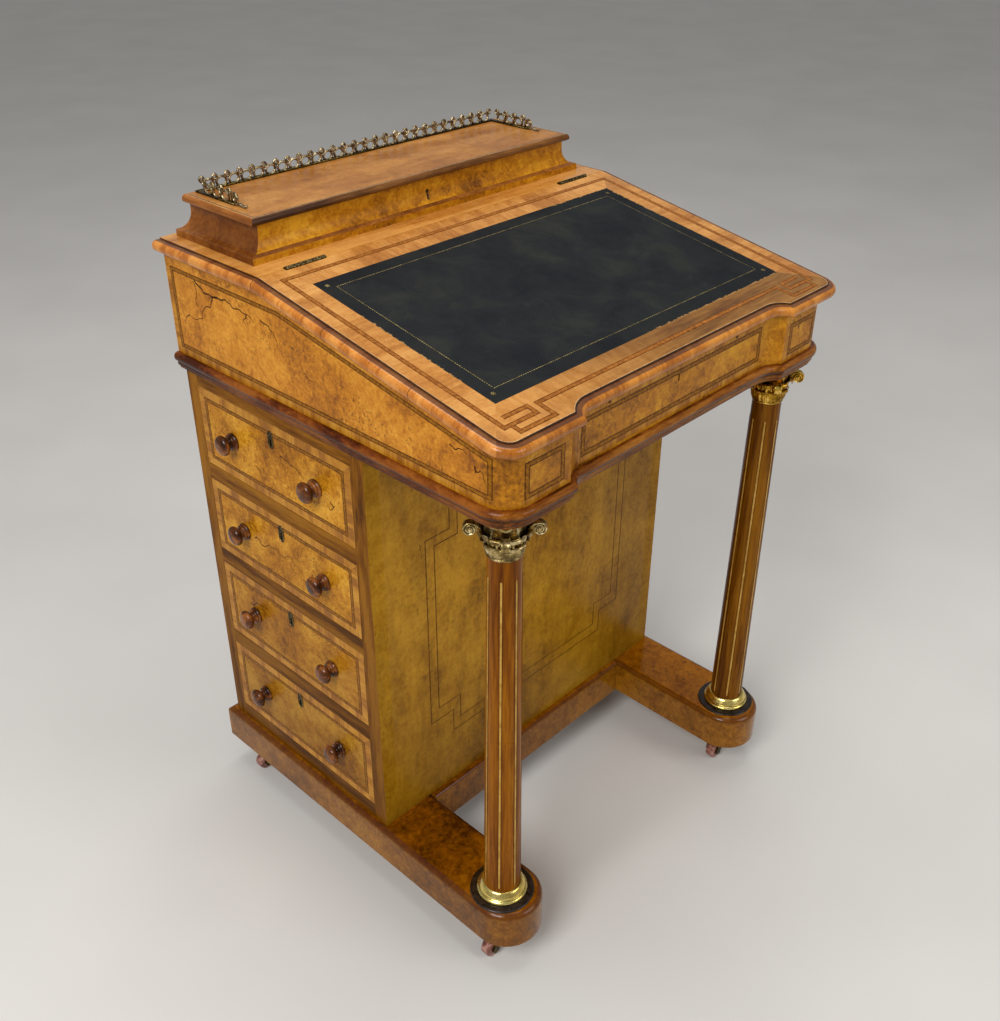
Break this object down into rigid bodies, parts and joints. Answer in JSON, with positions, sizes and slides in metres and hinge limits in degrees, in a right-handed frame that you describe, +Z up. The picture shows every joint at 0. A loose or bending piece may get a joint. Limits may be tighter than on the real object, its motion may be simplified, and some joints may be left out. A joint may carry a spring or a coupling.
{
  "type": "davenport desk",
  "caption": "Small writing desk: leather-lined slope lid over a well, stationery box with gallery, side drawers in a pedestal, turned columns on sledge feet with castors.",
  "frame": {"origin": "middle of the overall width and depth, at floor level under the castor wheels", "axes": "+Z up; -Y towards the sitter; -X is the side with the real drawers, on the sitter's left"},
  "size_m": [0.5688, 0.5471, 0.8462],
  "materials": {
    "burr_walnut": "french-polished burr walnut veneer, honey gold with dark flecks and brown inlay bands",
    "plain_walnut": "polished straight-grained walnut",
    "drawer_walnut": "figured walnut drawer front with crossbanding, plain linings behind",
    "lining_wood": "waxed plain wood",
    "moulding_wood": "glossy dark red-brown walnut moulding",
    "column_wood": "polished turned walnut with light stringing",
    "knob_wood": "glossy dark mahogany",
    "ebonised_wood": "ebonised",
    "writing_leather": "blue-black tooled leather with a dull gilt line",
    "gilt_metal": "antique gilt metal, dulled",
    "polished_brass": "bright polished brass",
    "aged_brass": "dark aged brass",
    "castor_wheel": "brown glazed castor bowl"
  },
  "bodies": {
    "carcase": {"box_dividers": "lining_wood", "box_hinge_leaves": "aged_brass", "box_plinth": "burr_walnut", "box_walls": "burr_walnut", "castor_plates": "aged_brass", "column_bases": "polished_brass", "column_capital_left": "gilt_metal", "column_capital_right": "gilt_metal", "column_discs": "ebonised_wood", "column_left": "column_wood", "column_right": "column_wood", "desk_back": "burr_walnut", "desk_bottom": "lining_wood", "desk_front": "burr_walnut", "desk_hinge_leaves": "aged_brass", "desk_side_left": "burr_walnut", "desk_side_right": "burr_walnut", "drawer_side_frame": "plain_walnut", "dust_frames": "lining_wood", "false_drawer_fronts": "burr_walnut", "false_drawer_knobs": "knob_wood", "false_escutcheons": "aged_brass", "front_cross_rail": "burr_walnut", "lid_locks": "aged_brass", "lower_moulding": "moulding_wood", "pedestal_back_panel": "burr_walnut", "pedestal_bottom_board": "lining_wood", "pedestal_front_panel": "burr_walnut", "rear_cross_rail": "burr_walnut", "right_side_panel": "burr_walnut", "runner_left": "burr_walnut", "runner_right": "burr_walnut", "top_board": "burr_walnut"},
    "slope_lid": {"slope_lid": "burr_walnut", "writing_leather": "writing_leather", "slope_lid_hinge_leaves": "aged_brass"},
    "box_lid": {"box_lid": "burr_walnut", "gallery": "gilt_metal", "box_lid_hinge_leaves": "aged_brass"},
    "drawer_1": {"drawer_1": "drawer_walnut", "drawer_1_knobs": "knob_wood", "drawer_1_lock": "aged_brass"},
    "drawer_2": {"drawer_2": "drawer_walnut", "drawer_2_knobs": "knob_wood", "drawer_2_lock": "aged_brass"},
    "drawer_3": {"drawer_3": "drawer_walnut", "drawer_3_knobs": "knob_wood", "drawer_3_lock": "aged_brass"},
    "drawer_4": {"drawer_4": "drawer_walnut", "drawer_4_knobs": "knob_wood", "drawer_4_lock": "aged_brass"},
    "castor_front_left": {"castor_fork_front_left": "aged_brass"},
    "wheel_front_left": {"castor_wheel_front_left": "castor_wheel"},
    "castor_front_right": {"castor_fork_front_right": "aged_brass"},
    "wheel_front_right": {"castor_wheel_front_right": "castor_wheel"},
    "castor_rear_left": {"castor_fork_rear_left": "aged_brass"},
    "wheel_rear_left": {"castor_wheel_rear_left": "castor_wheel"},
    "castor_rear_right": {"castor_fork_rear_right": "aged_brass"},
    "wheel_rear_right": {"castor_wheel_rear_right": "castor_wheel"}
  },
  "joints": [
    {"name": "slope_lid_hinge", "type": "hinge", "parent": "carcase", "child": "slope_lid", "pos_m": [0, 0.07953, 0.78422], "axis": [-1, 0, 0], "range_deg": [0, 100]},
    {"name": "box_lid_hinge", "type": "hinge", "parent": "carcase", "child": "box_lid", "pos_m": [0, 0.24573, 0.82112], "axis": [-1, 0, 0], "range_deg": [0, 100]},
    {"name": "drawer_1_slide", "type": "slide", "parent": "carcase", "child": "drawer_1", "axis": [-1, 0, 0], "range_m": [0, 0.38]},
    {"name": "drawer_2_slide", "type": "slide", "parent": "carcase", "child": "drawer_2", "axis": [-1, 0, 0], "range_m": [0, 0.38]},
    {"name": "drawer_3_slide", "type": "slide", "parent": "carcase", "child": "drawer_3", "axis": [-1, 0, 0], "range_m": [0, 0.38]},
    {"name": "drawer_4_slide", "type": "slide", "parent": "carcase", "child": "drawer_4", "axis": [-1, 0, 0], "range_m": [0, 0.38]},
    {"name": "castor_front_left_swivel", "type": "hinge", "parent": "carcase", "child": "castor_front_left", "pos_m": [-0.234, -0.225, 0.048], "axis": [0, 0, 1], "continuous": true},
    {"name": "wheel_front_left_spin", "type": "hinge", "parent": "castor_front_left", "child": "wheel_front_left", "pos_m": [-0.251, -0.225, 0.012], "axis": [0, 1, 0], "continuous": true},
    {"name": "castor_front_right_swivel", "type": "hinge", "parent": "carcase", "child": "castor_front_right", "pos_m": [0.234, -0.225, 0.048], "axis": [0, 0, 1], "continuous": true},
    {"name": "wheel_front_right_spin", "type": "hinge", "parent": "castor_front_right", "child": "wheel_front_right", "pos_m": [0.217, -0.225, 0.012], "axis": [0, 1, 0], "continuous": true},
    {"name": "castor_rear_left_swivel", "type": "hinge", "parent": "carcase", "child": "castor_rear_left", "pos_m": [-0.234, 0.22953, 0.048], "axis": [0, 0, 1], "continuous": true},
    {"name": "wheel_rear_left_spin", "type": "hinge", "parent": "castor_rear_left", "child": "wheel_rear_left", "pos_m": [-0.251, 0.22953, 0.012], "axis": [0, 1, 0], "continuous": true},
    {"name": "castor_rear_right_swivel", "type": "hinge", "parent": "carcase", "child": "castor_rear_right", "pos_m": [0.234, 0.22953, 0.048], "axis": [0, 0, 1], "continuous": true},
    {"name": "wheel_rear_right_spin", "type": "hinge", "parent": "castor_rear_right", "child": "wheel_rear_right", "pos_m": [0.217, 0.22953, 0.012], "axis": [0, 1, 0], "continuous": true}
  ]
}
